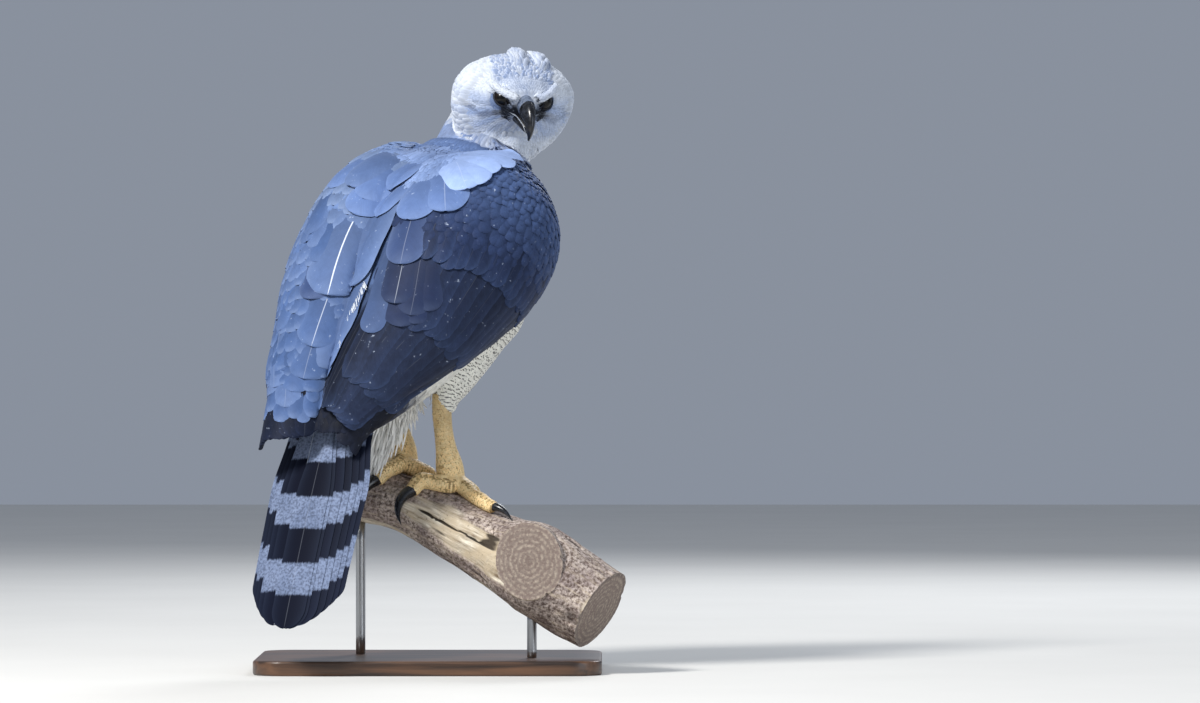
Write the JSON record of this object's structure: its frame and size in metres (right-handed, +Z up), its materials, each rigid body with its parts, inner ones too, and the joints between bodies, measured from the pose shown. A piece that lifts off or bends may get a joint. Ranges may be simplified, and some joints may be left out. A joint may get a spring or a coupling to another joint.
{
  "type": "harpy eagle",
  "caption": "Life-size harpy eagle standing on a cut length of branch and looking back over its right shoulder, on a plain display stand.",
  "frame": {"origin": "centre of the stand's underside", "axes": "+Z up, +Y from the bird's back towards its front and level, +X along the stand's long side to the right of someone who faces the bird's back"},
  "size_m": [0.4586, 0.3805, 0.7795],
  "materials": {
    "slate_plumage": "grey-blue back and neck feathers with pale edges",
    "dark_plumage": "blackish slate wing feathers, paler over the shoulders",
    "barred_plumage": "black tail feathers with mottled grey bars",
    "pale_plumage": "pale grey and white head feathers",
    "white_plumage": "white thigh feathers with narrow black bars",
    "leg_skin": "yellow scaly skin",
    "black_horn": "polished black horn",
    "cere_skin": "dark grey bare skin",
    "eye": "dark wet eye",
    "weathered_wood": "bare weathered wood with patches of bark",
    "stand_wood": "dark stained wood, satin",
    "stand_steel": "brushed rod"
  },
  "bodies": {
    "root": {"torso": "slate_plumage", "neck": "slate_plumage", "head": "pale_plumage", "eye_left": "eye", "eye_right": "eye", "cere": "cere_skin", "bill_upper": "black_horn", "bill_lower": "black_horn", "wing_left": "dark_plumage", "wing_right": "dark_plumage", "tail": "barred_plumage", "thigh_left": "white_plumage", "thigh_right": "white_plumage", "leg_left": "leg_skin", "leg_right": "leg_skin", "claw_left_hallux": "black_horn", "claw_left_inner": "black_horn", "claw_left_middle": "black_horn", "claw_left_outer": "black_horn", "claw_right_hallux": "black_horn", "claw_right_inner": "black_horn", "claw_right_middle": "black_horn", "claw_right_outer": "black_horn", "perch_branch": "weathered_wood", "stand_base": "stand_wood", "stand_rod_1": "stand_steel", "stand_rod_2": "stand_steel"}
  },
  "joints": []
}
